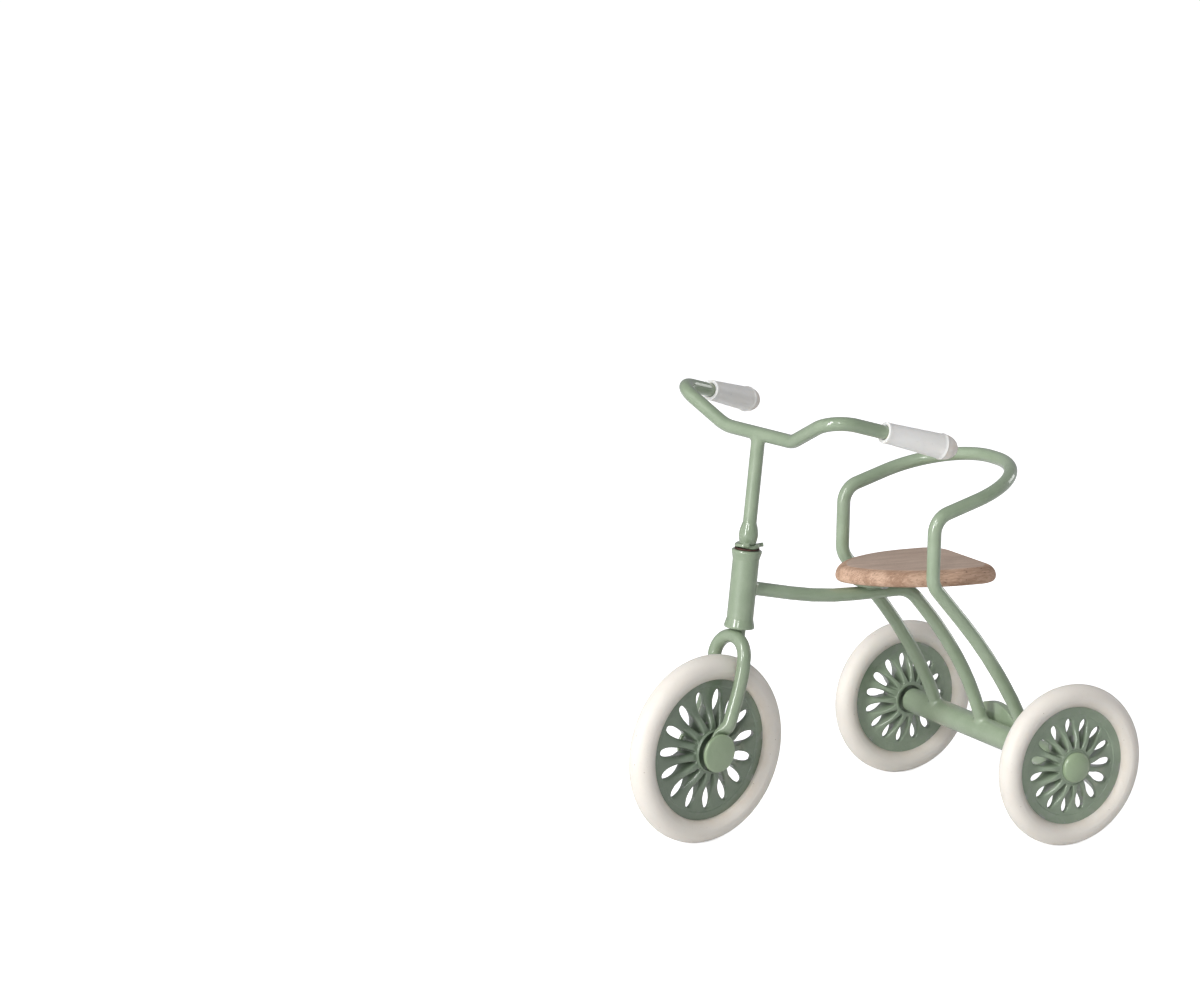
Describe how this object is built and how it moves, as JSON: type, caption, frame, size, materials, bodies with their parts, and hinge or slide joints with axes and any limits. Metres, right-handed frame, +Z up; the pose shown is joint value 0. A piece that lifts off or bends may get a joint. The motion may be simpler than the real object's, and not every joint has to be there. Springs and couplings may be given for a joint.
{
  "type": "toy tricycle",
  "caption": "Small metal tricycle with a wooden seat, hoop backrest, turning handlebar and fork, and freely rolling wheels with soft tyres.",
  "frame": {"origin": "middle of the bottom of the whole object, on the floor", "axes": "+X forward, towards the front wheel; +Y to the left; +Z up; the handlebar and front wheel rest turned a little to the left"},
  "size_m": [0.1114, 0.0756, 0.0973],
  "materials": {
    "paint": "sage green gloss paint over steel",
    "cast_paint": "sage green paint over a die-cast rim",
    "tyre": "ivory, satin",
    "grip": "off-white, satin",
    "wood": "bare sanded beech",
    "steel": "plain",
    "rusty_steel": "dark, lightly rusted"
  },
  "bodies": {
    "frame": {"head_tube": "paint", "main_tube": "paint", "seat_loop": "paint", "seat_plate": "paint", "seat_board": "wood", "seat_screws": "steel", "rear_axle_tube": "paint", "rear_plate": "paint", "rear_axle_pin": "steel", "rear_cap_left": "paint", "rear_cap_right": "paint"},
    "steering": {"stem": "paint", "handlebar": "paint", "grip_left": "grip", "grip_right": "grip", "steering_washer": "rusty_steel", "retaining_clip": "paint", "fork": "paint", "front_axle_pin": "steel", "front_cap_left": "paint", "front_cap_right": "paint"},
    "front_wheel": {"front_rim": "cast_paint", "front_tyre": "tyre"},
    "rear_wheel_left": {"rear_rim_left": "cast_paint", "rear_tyre_left": "tyre"},
    "rear_wheel_right": {"rear_rim_right": "cast_paint", "rear_tyre_right": "tyre"}
  },
  "joints": [
    {"name": "steering_turn", "type": "hinge", "parent": "frame", "child": "steering", "pos_m": [0.02927, 0.00056, 0.02041], "axis": [-0.075, 0, 0.9972], "continuous": true},
    {"name": "front_wheel_spin", "type": "hinge", "parent": "steering", "child": "front_wheel", "pos_m": [0.03514, 0.0017, 0.02085], "axis": [-0.1903, 0.9816, -0.0143], "continuous": true},
    {"name": "rear_wheel_left_spin", "type": "hinge", "parent": "frame", "child": "rear_wheel_left", "pos_m": [-0.03766, 0.03421, 0.018], "axis": [0, 1, 0], "continuous": true},
    {"name": "rear_wheel_right_spin", "type": "hinge", "parent": "frame", "child": "rear_wheel_right", "pos_m": [-0.03766, -0.03309, 0.018], "axis": [0, 1, 0], "continuous": true}
  ]
}
